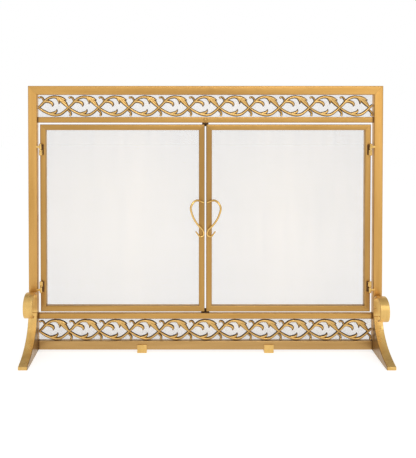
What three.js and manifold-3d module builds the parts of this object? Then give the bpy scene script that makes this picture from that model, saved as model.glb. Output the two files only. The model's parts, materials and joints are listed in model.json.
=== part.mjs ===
// Free-standing fireplace screen: a welded steel tube frame on two splayed front feet with scrolls,
// two hinged mesh doors, and a cast vine band above and below them.
// Millimetres. +X runs to the right of someone facing the screen, +Y away from them, +Z up.
// The origin is on the floor, under the middle of the whole object.
import * as THREE from "three";
import { mergeVertices } from "three/addons/utils/BufferGeometryUtils.js";
import Module from "manifold-3d";

const wasm = await Module();
wasm.setup();

// Driving dimensions
const WIDTH = 1118;
const HEIGHT = 845.5;
const TUBE = 28; // square tube of the stiles and the top rail
const SLIM_TUBE = 18; // square tube of the doors and the two middle rails
const WALL = 1.5;
const CORNER = 1.8; // outside corner radius of the tubes
const FLOOR_GAP = 9; // under the stiles and the bottom rail
const UPPER_BAND = 70; // clear heights of the vine bands
const LOWER_BAND = 69;
const DOOR_GAP = 5.5; // above and below the doors
const HINGE_GAP = 8; // between a door and its stile
const CENTRE_GAP = 5; // between the two doors
const RECESS = 8; // the doors and middle rails sit this far behind the front face
const FRONT_REACH = 148; // of the front feet, ahead of the front face
const REAR_REACH = 70; // of the rear feet, behind the back face
const CLOTH = 0.7; // thickness of the wire cloth
const FIT = 0.3; // left between touching pieces

// Places that follow from them
const FRONT_Y = (FRONT_REACH - TUBE - REAR_REACH) / 2;
const BACK_Y = FRONT_Y + TUBE;
const DOOR_Y = FRONT_Y + RECESS;
const DOOR_BACK_Y = DOOR_Y + SLIM_TUBE;
const CLEAR_X = WIDTH / 2 - TUBE; // inner faces of the stiles
const BOTTOM_RAIL_TOP = FLOOR_GAP + TUBE;
const LOWER_RAIL_Z = BOTTOM_RAIL_TOP + LOWER_BAND;
const LOWER_RAIL_TOP = LOWER_RAIL_Z + SLIM_TUBE;
const TOP_RAIL_Z = HEIGHT - TUBE;
const UPPER_RAIL_TOP = TOP_RAIL_Z - UPPER_BAND;
const UPPER_RAIL_Z = UPPER_RAIL_TOP - SLIM_TUBE;
const DOOR_Z = LOWER_RAIL_TOP + DOOR_GAP;
const DOOR_TOP = UPPER_RAIL_Z - DOOR_GAP;
const DOOR_OUTER_X = CLEAR_X - HINGE_GAP;
const DOOR_INNER_X = CENTRE_GAP / 2;
const SIDES = [["left", -1], ["right", 1]];

const GOLD = { color: 0xc4985a, roughness: 0.38, metalness: 0.85 };
const CAST_GOLD = { color: 0xb98b45, roughness: 0.45, metalness: 0.85 };
const WIRE_CLOTH = { color: 0xb9b2a4, roughness: 0.5, metalness: 0.7 };
const DARK_STEEL = { color: 0x2b1c10, roughness: 0.55, metalness: 0.3 };
const BLACK_PLASTIC = { color: 0x1b1b1b, roughness: 0.7, metalness: 0 };

const group = new THREE.Group();

function addPiece(name, geometry, finish) {
  const mesh = new THREE.Mesh(geometry, new THREE.MeshStandardMaterial(finish));
  mesh.name = name;
  group.add(mesh);
}

// Solids for joining and cutting

function toSolid(geometry) {
  const bare = geometry.clone();
  bare.deleteAttribute("normal");
  bare.deleteAttribute("uv");
  const merged = mergeVertices(bare, 1e-3);
  const vertProperties = merged.attributes.position.array;
  const triVerts = new Uint32Array(merged.index.array);
  return new wasm.Manifold(new wasm.Mesh({ numProp: 3, vertProperties, triVerts }));
}

function toGeometry(solid) {
  const mesh = solid.getMesh();
  const geometry = new THREE.BufferGeometry();
  geometry.setAttribute("position", new THREE.BufferAttribute(mesh.vertProperties, 3));
  geometry.setIndex(new THREE.BufferAttribute(mesh.triVerts, 1));
  geometry.computeVertexNormals();
  return geometry;
}

function join(geometries) {
  return toGeometry(geometries.map(toSolid).reduce((all, next) => all.add(next)));
}

function cut(geometry, tool) {
  return toGeometry(toSolid(geometry).subtract(toSolid(tool)));
}

// Basic shapes

// A box between two corners given in any order.
function box(cornerA, cornerB) {
  const size = cornerA.map((value, i) => Math.abs(value - cornerB[i]));
  const centre = cornerA.map((value, i) => (value + cornerB[i]) / 2);
  return new THREE.BoxGeometry(...size).translate(...centre);
}

function polygon(points) {
  return new THREE.Shape(points.map(([a, b]) => new THREE.Vector2(a, b)));
}

// An outline drawn in (Y, Z), extruded along X between two planes.
function extrudeAlongX(shape, xA, xB, curveSegments = 6) {
  const turn = new THREE.Matrix4().makeBasis(
    new THREE.Vector3(0, 1, 0),
    new THREE.Vector3(0, 0, 1),
    new THREE.Vector3(1, 0, 0),
  );
  const options = { depth: Math.abs(xB - xA), bevelEnabled: false, curveSegments };
  const geometry = new THREE.ExtrudeGeometry(shape, options);
  return geometry.applyMatrix4(turn).translate(Math.min(xA, xB), 0, 0);
}

// An outline drawn in (X, Z), extruded along Y between two planes.
function extrudeAlongY(shape, frontY, backY) {
  const options = { depth: backY - frontY, bevelEnabled: false };
  const geometry = new THREE.ExtrudeGeometry(shape, options);
  return geometry.rotateX(Math.PI / 2).translate(0, backY, 0);
}

// A turned piece standing along Z: profile points are [radius, height].
function turned(profile, segments = 12) {
  const points = profile.map(([radius, height]) => new THREE.Vector2(radius, height));
  return new THREE.LatheGeometry(points, segments).rotateX(Math.PI / 2);
}

function roundedRectangle(width, depth, radius) {
  const x = width / 2 - radius;
  const y = depth / 2 - radius;
  const quarter = Math.PI / 2;
  const shape = new THREE.Shape();
  shape.absarc(x, y, radius, 0, quarter);
  shape.absarc(-x, y, radius, quarter, 2 * quarter);
  shape.absarc(-x, -y, radius, 2 * quarter, 3 * quarter);
  shape.absarc(x, -y, radius, 3 * quarter, 4 * quarter);
  return shape;
}

// A hollow tube standing along Z on the origin. The slopes tilt its two ends across its face, for
// mitres; 0 leaves them square.
function tube(face, depth, length, slopeLow, slopeHigh) {
  const outline = roundedRectangle(face, depth, CORNER);
  const x = face / 2 - WALL;
  const y = depth / 2 - WALL;
  outline.holes.push(new THREE.Path().moveTo(x, y).lineTo(x, -y).lineTo(-x, -y).lineTo(-x, y));
  const options = { depth: length, bevelEnabled: false, curveSegments: 1 };
  const geometry = new THREE.ExtrudeGeometry(outline, options);
  const position = geometry.attributes.position;
  for (let i = 0; i < position.count; i++) {
    const slope = position.getZ(i) < length / 2 ? slopeLow : slopeHigh;
    position.setZ(i, position.getZ(i) + slope * position.getX(i));
  }
  return geometry;
}

// An upright tube. outward is 1 where its outer side faces +X and -1 where it faces -X; a mitred
// end is longest on that side.
function upright(outward, centreX, lowZ, highZ, face, frontY, mitreLow) {
  const mitre = face / 2 + FIT / 2;
  const low = mitreLow ? lowZ + mitre : lowZ;
  const high = highZ - mitre;
  const piece = tube(face, face, high - low, mitreLow ? -outward : 0, outward);
  return piece.translate(centreX, frontY + face / 2, low);
}

// A level tube. outward is 1 where its outer side faces up, -1 where it faces down, and 0 for a tube
// with square ends.
function level(outward, lowX, highX, centreZ, face, depth, frontY) {
  const retreat = outward ? face / 2 + FIT / 2 : FIT;
  const length = highX - lowX - 2 * retreat;
  const piece = tube(face, depth, length, outward, -outward).rotateY(Math.PI / 2);
  return piece.translate(lowX + retreat, frontY + depth / 2, centreZ);
}

// A flat strip along a line of points [a, b, half width].
function strip(points) {
  const left = [];
  const right = [];
  points.forEach(([a, b, half], i) => {
    const [fromA, fromB] = points[Math.max(i - 1, 0)];
    const [toA, toB] = points[Math.min(i + 1, points.length - 1)];
    const span = Math.hypot(toA - fromA, toB - fromB);
    const acrossA = (-(toB - fromB) / span) * half;
    const acrossB = ((toA - fromA) / span) * half;
    left.unshift([a + acrossA, b + acrossB]);
    right.push([a - acrossA, b - acrossB]);
  });
  return polygon([...right, ...left]);
}

// Frame

const BOTTOM_RAIL_INSET = 3; // the bottom rail is this much shallower than the stiles on each face

function buildFrame() {
  const half = WIDTH / 2;
  for (const [sideName, side] of SIDES) {
    const stile = upright(side, side * (half - TUBE / 2), FLOOR_GAP, HEIGHT, TUBE, FRONT_Y, false);
    addPiece(sideName + "_stile", stile, GOLD);
  }
  addPiece("top_rail", level(1, -half, half, HEIGHT - TUBE / 2, TUBE, TUBE, FRONT_Y), GOLD);
  const bottomDepth = TUBE - 2 * BOTTOM_RAIL_INSET;
  const bottomZ = FLOOR_GAP + TUBE / 2;
  const bottomY = FRONT_Y + BOTTOM_RAIL_INSET;
  addPiece("bottom_rail", level(0, -CLEAR_X, CLEAR_X, bottomZ, TUBE, bottomDepth, bottomY), GOLD);
}

// Middle rails and the catches screwed to them: a black plate the doors close against, with a lip
// that fills the gap in front of it

const SCREW_SHANK = 2; // radius
const SCREW_HOLE = 2.4; // radius
const CATCH_INTO_RAIL = 16; // how far the plate reaches over the rail
const CATCH_INTO_DOOR = 11.5; // and over the doors
const CATCH_PLATE = 2.6;
const CATCH_Y = DOOR_BACK_Y + FIT;

function screwHole(z, frontY, backY) {
  const hole = new THREE.CylinderGeometry(SCREW_HOLE, SCREW_HOLE, backY - frontY, 12);
  return hole.translate(0, (frontY + backY) / 2, z);
}

// toDoor is 1 where the door lies above the rail and -1 where it lies below.
function catchBody(halfWidth, railEdgeZ, toDoor) {
  const lipTop = 2.7;
  const plate = box(
    [-halfWidth, CATCH_Y, railEdgeZ - toDoor * CATCH_INTO_RAIL],
    [halfWidth, CATCH_Y + CATCH_PLATE, railEdgeZ + toDoor * CATCH_INTO_DOOR],
  );
  const lip = box(
    [-halfWidth, DOOR_Y + 3, railEdgeZ + toDoor * FIT],
    [halfWidth, CATCH_Y + CATCH_PLATE / 2, railEdgeZ + toDoor * lipTop],
  );
  return join([plate, lip]);
}

// A round-headed screw along Y, its head resting on the plane at seatY and facing the front or back.
function screw(seatY, z, facesFront, shankLength, headRadius) {
  const crown = 2.8;
  const shape = turned([
    [0, -shankLength],
    [SCREW_SHANK, -shankLength],
    [SCREW_SHANK, 0],
    [headRadius, 0],
    [headRadius * 0.92, crown * 0.45],
    [headRadius * 0.6, crown * 0.85],
    [0, crown],
  ]);
  const turn = facesFront ? Math.PI / 2 : -Math.PI / 2;
  return shape.rotateX(turn).translate(0, seatY, z);
}

function buildMiddleRails() {
  const upperZ = UPPER_RAIL_Z + SLIM_TUBE / 2;
  const lowerZ = LOWER_RAIL_Z + SLIM_TUBE / 2;
  const rails = [
    { name: "upper", centreZ: upperZ, edgeZ: UPPER_RAIL_Z, toDoor: -1, catchHalfWidth: 10 },
    { name: "lower", centreZ: lowerZ, edgeZ: LOWER_RAIL_TOP, toDoor: 1, catchHalfWidth: 13 },
  ];
  for (const { name, centreZ, edgeZ, toDoor, catchHalfWidth } of rails) {
    const throughRail = toDoor < 0;
    const holeFrontY = throughRail ? FRONT_Y : DOOR_BACK_Y - 2 * WALL;
    const rail = level(0, -CLEAR_X, CLEAR_X, centreZ, SLIM_TUBE, SLIM_TUBE, DOOR_Y);
    addPiece(name + "_middle_rail", cut(rail, screwHole(centreZ, holeFrontY, BACK_Y)), GOLD);
    const blank = catchBody(catchHalfWidth, edgeZ, toDoor);
    const body = cut(blank, screwHole(centreZ, DOOR_BACK_Y, BACK_Y + 5));
    addPiece(name + "_catch", body, DARK_STEEL);
  }
  const plateBack = CATCH_Y + CATCH_PLATE;
  const throughLength = plateBack - DOOR_Y + FIT;
  const upperScrew = screw(DOOR_Y - FIT, upperZ, true, throughLength, 6.5);
  const lowerScrew = screw(plateBack + FIT, lowerZ, false, 8, 5);
  addPiece("upper_catch_screw", upperScrew, GOLD);
  addPiece("lower_catch_screw", lowerScrew, DARK_STEEL);
}

// Vine bands: a cast panel of crossing stems and leaves in front of a strip of wire cloth

const VINE_PITCH = 95.2;
const VINE_MODULES = 11;
const VINE_START_X = -CLEAR_X + 3; // the first crossing, close to the left stile
const VINE_DROP = 40; // from the top of the opening to the line of crossings
const VINE_THICK = 7;
const VINE_TO_CLOTH = 2;

// Strokes of one module, from one crossing to the next: [along, up] in pitches, half width in mm.
const VINE_STROKES = [
  // upper stem, swelling into a leaf
  [[0, 0, 3.6], [0.1, 0.09, 4.5], [0.2, 0.2, 4.7], [0.33, 0.305, 4.7], [0.48, 0.35, 4.8],
    [0.62, 0.333, 6], [0.77, 0.2, 7], [1, 0, 3.9]],
  // lower stem
  [[0, 0, 3.6], [0.25, -0.16, 4.6], [0.4, -0.22, 4.7], [0.57, -0.25, 4.7], [0.73, -0.22, 4.7],
    [1, 0, 3.9]],
  // inner leaf
  [[0.14, 0.15, 3.4], [0.3, 0.2, 4.7], [0.43, 0.16, 5.4], [0.46, 0.05, 1.8]],
  // curl outside the upper stem
  [[0.2, 0.17, 3.4], [0.13, 0.3, 4.2], [0.06, 0.343, 4.5]],
  // tendril below the crossing
  [[0.93, -0.06, 3.4], [1.075, -0.18, 4.1], [1.06, -0.288, 3.6]],
  // spur off the lower stem
  [[0.34, -0.19, 2.8], [0.55, -0.18, 5.4], [0.61, -0.05, 1.4]],
];
// Beyond the last crossing a short stem runs up to the right stile.
const VINE_END = [[0, 0, 3.9], [0.06, 0.055, 4], [0.093, 0.1, 2.4]];

function vineStroke(stroke, crossingX, crossingZ) {
  const placed = stroke.map(([u, v, half]) => [
    crossingX + u * VINE_PITCH,
    crossingZ + v * VINE_PITCH,
    half,
  ]);
  return extrudeAlongY(strip(placed), DOOR_Y, DOOR_Y + VINE_THICK);
}

function vinePanel(topZ) {
  const crossingZ = topZ - VINE_DROP;
  const strokes = [];
  for (let i = 0; i < VINE_MODULES; i++) {
    const x = VINE_START_X + i * VINE_PITCH;
    strokes.push(...VINE_STROKES.map((stroke) => vineStroke(stroke, x, crossingZ)));
  }
  const lastX = VINE_START_X + VINE_MODULES * VINE_PITCH;
  strokes.push(vineStroke(VINE_END, lastX, crossingZ));
  return join(strokes);
}

function buildBands() {
  const clothY = DOOR_Y + VINE_THICK + VINE_TO_CLOTH;
  const bands = [
    ["upper", UPPER_RAIL_TOP, TOP_RAIL_Z],
    ["lower", BOTTOM_RAIL_TOP, LOWER_RAIL_Z],
  ];
  for (const [name, lowZ, highZ] of bands) {
    addPiece(name + "_vine_panel", vinePanel(highZ), CAST_GOLD);
    const low = [-CLEAR_X + FIT, clothY, lowZ + FIT];
    const high = [CLEAR_X - FIT, clothY + CLOTH, highZ - FIT];
    addPiece(name + "_band_mesh", box(low, high), WIRE_CLOTH);
  }
}

// Feet

const FOOT_TOP = 124.3;
const FOOT_LIFT = 5.8; // the left foot and scroll stand this much higher, the right ones lower
const TOE = 10.5; // height of the front of the toe
const FOOT_HEEL_Z = 4; // the underside rises this much towards the stile
const FOOT_SOLE = 40; // length of the flat that stands on the floor
const REAR_FOOT_TOP = 34;
const STRAP = 5; // thickness of the scroll strap

function frontFoot(xA, xB, topZ) {
  const ahead = (reach) => FRONT_Y - reach;
  const shape = new THREE.Shape();
  shape.moveTo(ahead(FIT), FOOT_HEEL_Z);
  shape.lineTo(ahead(FIT), topZ);
  shape.lineTo(ahead(6), topZ);
  shape.bezierCurveTo(ahead(12), 66, ahead(68), 27, ahead(FRONT_REACH), TOE);
  shape.lineTo(ahead(FRONT_REACH), 0);
  shape.lineTo(ahead(FRONT_REACH - FOOT_SOLE), 0);
  return extrudeAlongX(shape, xA, xB, 10);
}

// A flat strap that stands on the foot against the stile, rolls forwards over the top and curls in.
// Points are [reach ahead of the front face, height above the top of the foot].
const SCROLL = [
  [2.8, FIT],
  [2.8, 27.5],
  [3.5, 47.8],
  [12, 61.7],
  [30, 68.2],
  [51, 67.6],
  [70, 58.6],
  [80, 43],
  [80.5, 25.6],
  [74, 9.9],
  [62, 1.1],
  [48, 0.2],
];

function footScroll(xA, xB, footZ) {
  const centres = SCROLL.map(([reach, rise]) => new THREE.Vector2(FRONT_Y - reach, footZ + rise));
  const line = new THREE.SplineCurve(centres).getPoints(2 * (SCROLL.length - 1));
  return extrudeAlongX(strip(line.map(({ x, y }) => [x, y, STRAP / 2])), xA, xB);
}

function rearFoot(xA, xB) {
  const behind = (reach) => BACK_Y + reach;
  const shape = new THREE.Shape();
  shape.moveTo(behind(FIT), FOOT_HEEL_Z);
  shape.lineTo(behind(30), 0);
  shape.lineTo(behind(REAR_REACH), 0);
  shape.lineTo(behind(REAR_REACH), 6);
  shape.bezierCurveTo(behind(34), 10, behind(8), 16, behind(6), REAR_FOOT_TOP);
  shape.lineTo(behind(FIT), REAR_FOOT_TOP);
  return extrudeAlongX(shape, xA, xB, 6);
}

// Plastic plug in the open lower end of a stile: a flange and the square spigot above it.
function stilePlug(centreX) {
  const flange = 2.7;
  const spigot = TUBE / 2 - WALL - FIT;
  const topZ = FLOOR_GAP - FIT;
  const centreY = FRONT_Y + TUBE / 2;
  const plate = box(
    [centreX - TUBE / 2, centreY - TUBE / 2, topZ - flange],
    [centreX + TUBE / 2, centreY + TUBE / 2, topZ],
  );
  const insert = box(
    [centreX - spigot, centreY - spigot, topZ - 1],
    [centreX + spigot, centreY + spigot, topZ + 12],
  );
  return join([plate, insert]);
}

function buildFeet() {
  for (const [sideName, side] of SIDES) {
    const innerX = side * CLEAR_X;
    const outerX = (side * WIDTH) / 2;
    const topZ = FOOT_TOP - side * FOOT_LIFT;
    addPiece(sideName + "_front_foot", frontFoot(innerX, outerX, topZ), GOLD);
    addPiece(sideName + "_foot_scroll", footScroll(innerX, outerX, topZ), GOLD);
    addPiece(sideName + "_rear_foot", rearFoot(innerX, outerX), GOLD);
    addPiece(sideName + "_stile_plug", stilePlug(side * (CLEAR_X + TUBE / 2)), BLACK_PLASTIC);
  }
}

// Rail feet: short channels hung round the bottom rail that carry it on the floor.

const RAIL_FOOT_X = 201;
const RAIL_FOOT_WIDTH = 30;
const RAIL_FOOT_HEIGHT = 26;
const RAIL_FOOT_PLATE = 4;

function railFoot(centreX) {
  const frontY = FRONT_Y + BOTTOM_RAIL_INSET - FIT;
  const backY = BACK_Y - BOTTOM_RAIL_INSET + FIT;
  const outline = polygon([
    [frontY - RAIL_FOOT_PLATE, 0],
    [backY + RAIL_FOOT_PLATE, 0],
    [backY + RAIL_FOOT_PLATE, RAIL_FOOT_HEIGHT],
    [backY, RAIL_FOOT_HEIGHT],
    [backY, FLOOR_GAP - FIT],
    [frontY, FLOOR_GAP - FIT],
    [frontY, RAIL_FOOT_HEIGHT],
    [frontY - RAIL_FOOT_PLATE, RAIL_FOOT_HEIGHT],
  ]);
  return extrudeAlongX(outline, centreX - RAIL_FOOT_WIDTH / 2, centreX + RAIL_FOOT_WIDTH / 2);
}

function buildRailFeet() {
  for (const [sideName, side] of SIDES) {
    addPiece(sideName + "_rail_foot", railFoot(side * RAIL_FOOT_X), GOLD);
  }
}

// Hinges: a pin through one knuckle welded to the stile and one welded to the door

const HINGE_X = 520;
const HINGE_Y = FRONT_Y - 1;
const KNUCKLE = 17; // height of one knuckle
const KNUCKLE_RADIUS = 4.2;
const KNUCKLE_GAP = 0.4;
const BORE = 1.75; // radius
const PIN = 1.5; // radius
const TAB = 6.5; // height of the stile's leaf
const LEAF_INNER_X = HINGE_X - 9;
const LEAF_THICK = 2.2;
const LEAF_MARGIN = 1; // of the two knuckles above and below the door's leaf
const HINGES = [
  { name: "upper", z: 645, stileAbove: true },
  { name: "lower", z: 210, stileAbove: false },
];

function knuckle(side, lowZ) {
  const bevel = 0.7;
  const barrel = turned([
    [BORE, 0],
    [KNUCKLE_RADIUS - bevel, 0],
    [KNUCKLE_RADIUS, bevel],
    [KNUCKLE_RADIUS, KNUCKLE - bevel],
    [KNUCKLE_RADIUS - bevel, KNUCKLE],
    [BORE, KNUCKLE],
    [BORE, 0],
  ]);
  return barrel.translate(side * HINGE_X, HINGE_Y, lowZ);
}

// The stile's leaf is a small tab across to the front face of the stile.
function stileKnuckle(side, lowZ) {
  const middle = lowZ + KNUCKLE / 2;
  const tab = box(
    [side * (HINGE_X + 2.5), FRONT_Y - 2.8, middle - TAB / 2],
    [side * (CLEAR_X + 3.5), FRONT_Y - FIT, middle + TAB / 2],
  );
  return join([knuckle(side, lowZ), tab]);
}

// The door's leaf lies on the front face of the door, as tall as both knuckles, and an arm joins it
// to the door's own knuckle.
function doorKnuckle(side, lowZ, pinZ) {
  const reach = KNUCKLE + KNUCKLE_GAP / 2 - LEAF_MARGIN;
  const leafBack = DOOR_Y - FIT;
  const leaf = box(
    [side * LEAF_INNER_X, leafBack - LEAF_THICK, pinZ - reach],
    [side * (HINGE_X - 1), leafBack, pinZ + reach],
  );
  const arm = box(
    [side * (HINGE_X - 6), FRONT_Y - 2, lowZ + LEAF_MARGIN],
    [side * (HINGE_X - 2.5), leafBack - LEAF_THICK / 2, lowZ + KNUCKLE - LEAF_MARGIN],
  );
  return join([knuckle(side, lowZ), leaf, arm]);
}

function hingePin(side, z) {
  const seat = KNUCKLE + KNUCKLE_GAP / 2 + FIT;
  const head = 1.7;
  const headRadius = 3.6;
  const pin = turned([
    [0, -seat - head],
    [headRadius * 0.6, -seat - head * 0.8],
    [headRadius, -seat],
    [PIN, -seat],
    [PIN, seat],
    [headRadius, seat],
    [headRadius * 0.6, seat + head * 0.8],
    [0, seat + head],
  ]);
  return pin.translate(side * HINGE_X, HINGE_Y, z);
}

function buildHinges(sideName, side) {
  for (const { name, z, stileAbove } of HINGES) {
    const prefix = sideName + "_" + name;
    const above = z + KNUCKLE_GAP / 2;
    const below = z - KNUCKLE_GAP / 2 - KNUCKLE;
    addPiece(prefix + "_stile_knuckle", stileKnuckle(side, stileAbove ? above : below), GOLD);
    addPiece(prefix + "_door_knuckle", doorKnuckle(side, stileAbove ? below : above, z), GOLD);
    addPiece(prefix + "_hinge_pin", hingePin(side, z), GOLD);
  }
}

// Doors

const MESH_LAP = 6; // of the wire cloth over the back of the door tubes
const CLAMP_LAP = 7;
const CLAMP_WIDTH = 7;
const CLAMP_THICK = 2;

function buildDoorFrame(name, side) {
  const half = SLIM_TUBE / 2;
  const hingeX = side * (DOOR_OUTER_X - half);
  const lockX = side * (DOOR_INNER_X + half);
  const hingeStile = upright(side, hingeX, DOOR_Z, DOOR_TOP, SLIM_TUBE, DOOR_Y, true);
  const lockStile = upright(-side, lockX, DOOR_Z, DOOR_TOP, SLIM_TUBE, DOOR_Y, true);
  addPiece(name + "_hinge_stile", hingeStile, GOLD);
  addPiece(name + "_lock_stile", lockStile, GOLD);
  const ends = [side * DOOR_INNER_X, side * DOOR_OUTER_X].sort((a, b) => a - b);
  const top = level(1, ...ends, DOOR_TOP - half, SLIM_TUBE, SLIM_TUBE, DOOR_Y);
  const bottom = level(-1, ...ends, DOOR_Z + half, SLIM_TUBE, SLIM_TUBE, DOOR_Y);
  addPiece(name + "_top_rail", top, GOLD);
  addPiece(name + "_bottom_rail", bottom, GOLD);
}

// The wire cloth lies on the back of the door tubes, held by four flat clamp strips.
function buildDoorMesh(name, side) {
  const lockX = DOOR_INNER_X + SLIM_TUBE;
  const hingeX = DOOR_OUTER_X - SLIM_TUBE;
  const lowZ = DOOR_Z + SLIM_TUBE;
  const highZ = DOOR_TOP - SLIM_TUBE;
  const meshY = DOOR_BACK_Y + FIT;
  const cloth = box(
    [side * (lockX - MESH_LAP), meshY, lowZ - MESH_LAP],
    [side * (hingeX + MESH_LAP), meshY + CLOTH, highZ + MESH_LAP],
  );
  addPiece(name + "_mesh", cloth, WIRE_CLOTH);
  const clampY = meshY + CLOTH + FIT;
  const clamps = [
    ["lock", [lockX - CLAMP_LAP, lowZ - CLAMP_LAP], [lockX, highZ + CLAMP_LAP]],
    ["hinge", [hingeX, lowZ - CLAMP_LAP], [hingeX + CLAMP_LAP, highZ + CLAMP_LAP]],
    ["top", [lockX + FIT, highZ + CLAMP_LAP - CLAMP_WIDTH], [hingeX - FIT, highZ + CLAMP_LAP]],
    ["bottom", [lockX + FIT, lowZ - CLAMP_LAP], [hingeX - FIT, lowZ - CLAMP_LAP + CLAMP_WIDTH]],
  ];
  for (const [place, low, high] of clamps) {
    const clamp = box([side * low[0], clampY, low[1]], [side * high[0], clampY + CLAMP_THICK, high[1]]);
    addPiece(name + "_" + place + "_mesh_clamp", clamp, GOLD);
  }
}

// Handle: half of a heart in round wire, ending in a small hook. Points are [out from the meeting
// line of the doors, ahead of the door's face, height].
const HANDLE_RADIUS = 3.1;
const HANDLE_POINTS = [
  [6, 3.5, 477.6],
  [14, 6.2, 481],
  [27, 16, 485.5],
  [39, 24, 479.5],
  [46.5, 28, 465],
  [44.5, 28, 449],
  [35.5, 26, 426.7],
  [22, 18, 406.1],
  [10, 9, 392.4],
  [5.8, 4.4, 381.6],
  [7, 3.8, 372.8],
  [14, 4.6, 369.4],
  [20, 8, 372.3],
  [30, 14, 386.5],
];

function handle(side) {
  const points = HANDLE_POINTS.map(
    ([out, ahead, z]) => new THREE.Vector3(side * out, DOOR_Y - ahead, z),
  );
  const section = new THREE.Shape();
  section.absarc(0, 0, HANDLE_RADIUS, 0, 2 * Math.PI);
  return new THREE.ExtrudeGeometry(section, {
    extrudePath: new THREE.CatmullRomCurve3(points, false, "centripetal"),
    steps: 26,
    curveSegments: 4,
    bevelEnabled: false,
  });
}

function buildDoors() {
  for (const [sideName, side] of SIDES) {
    const name = sideName + "_door";
    buildDoorFrame(name, side);
    buildDoorMesh(name, side);
    addPiece(name + "_handle", handle(side), GOLD);
    buildHinges(sideName, side);
  }
}

buildFrame();
buildMiddleRails();
buildBands();
buildFeet();
buildRailFeet();
buildDoors();

export default group;
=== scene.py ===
import json
import math

import bmesh
import bpy
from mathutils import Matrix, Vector


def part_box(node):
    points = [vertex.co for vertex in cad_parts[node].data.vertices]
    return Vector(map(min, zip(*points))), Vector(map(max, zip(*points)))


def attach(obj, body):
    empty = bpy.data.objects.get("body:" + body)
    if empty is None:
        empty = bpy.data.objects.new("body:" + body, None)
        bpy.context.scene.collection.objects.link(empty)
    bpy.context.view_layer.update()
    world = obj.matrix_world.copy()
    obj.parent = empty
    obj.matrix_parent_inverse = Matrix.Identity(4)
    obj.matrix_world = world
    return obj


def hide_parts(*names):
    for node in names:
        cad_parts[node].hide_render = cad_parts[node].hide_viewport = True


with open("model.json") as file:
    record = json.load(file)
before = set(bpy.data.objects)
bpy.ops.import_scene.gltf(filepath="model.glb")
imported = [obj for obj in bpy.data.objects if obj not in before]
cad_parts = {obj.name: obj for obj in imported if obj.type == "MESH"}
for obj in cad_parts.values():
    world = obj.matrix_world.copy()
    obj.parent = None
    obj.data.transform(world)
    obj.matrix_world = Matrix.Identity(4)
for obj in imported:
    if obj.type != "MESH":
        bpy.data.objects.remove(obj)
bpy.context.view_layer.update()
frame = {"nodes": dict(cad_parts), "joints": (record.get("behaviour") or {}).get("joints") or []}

MM = 0.001
SIDES = (("left", -1), ("right", 1))
GOLD, CAST, HARDWARE = "gold_paint", "cast_gold", "hardware_gold"
WIRE, DARK, PLASTIC = "mesh_wire", "dark_steel", "black_plastic"

FIT = 0.3 * MM  # gap between pieces that meet
VINE_RELIEF = 6.6 * MM  # depth of the cast vines, back to front

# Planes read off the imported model
FRONT_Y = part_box("left_stile")[0].y
BACK_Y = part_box("left_stile")[1].y
DOOR_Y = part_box("left_door_top_rail")[0].y  # the face of the doors and of the cast vines
CLEAR_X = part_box("right_stile")[0].x  # half the clear width between the stiles


# Materials

WHITE = (1, 1, 1)
# The darkest and the lightest of a paint's drifts
GOLD_PAINT = (0.57, 0.31, 0.08), (0.68, 0.39, 0.115)
PALE_PAINT = (0.56, 0.33, 0.115), (0.67, 0.41, 0.155)
YELLOW_PAINT = (0.52, 0.325, 0.1), (0.62, 0.41, 0.14)
GOLD_SHADE = (0.12, 0.055, 0.02, 1)
DULL_FLAKE = (0.86, 0.85, 0.82)
DULL_GRAIN = (0.72, 0.7, 0.66)
# Painted light and shade on the cast paint: a painted highlight on the face of the relief, 0, painted
# shade down its sides, and plain gold again on its flat back, 1
CAST_LIGHT_AND_SHADE = (
    (0.0, (0.78, 0.5, 0.18)),
    (0.065, (0.52, 0.29, 0.075)),
    (0.2, (0.26, 0.125, 0.03)),
    (0.36, (0.05, 0.022, 0.006)),
    (0.96, (0.05, 0.022, 0.006)),
    (1.0, (0.42, 0.23, 0.06)),
)
# Noise scales, in patches per metre, and the range that most of a noise lies in
DRIFTS, SHEEN, PEEL, FLAKE, GRAIN, PITS = 60, 35, 700, 2600, 420, 500
NOISE_LOW, NOISE_HIGH = 0.3, 0.7


def fill_ramp(ramp, stops):
    """Gives a colour ramp its stops, each a position and a colour."""
    elements = ramp.color_ramp.elements
    while len(elements) < len(stops):
        elements.new(0.5)
    for element, (position, color) in zip(elements, stops):
        element.position = position
        element.color = (*color, 1)


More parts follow.
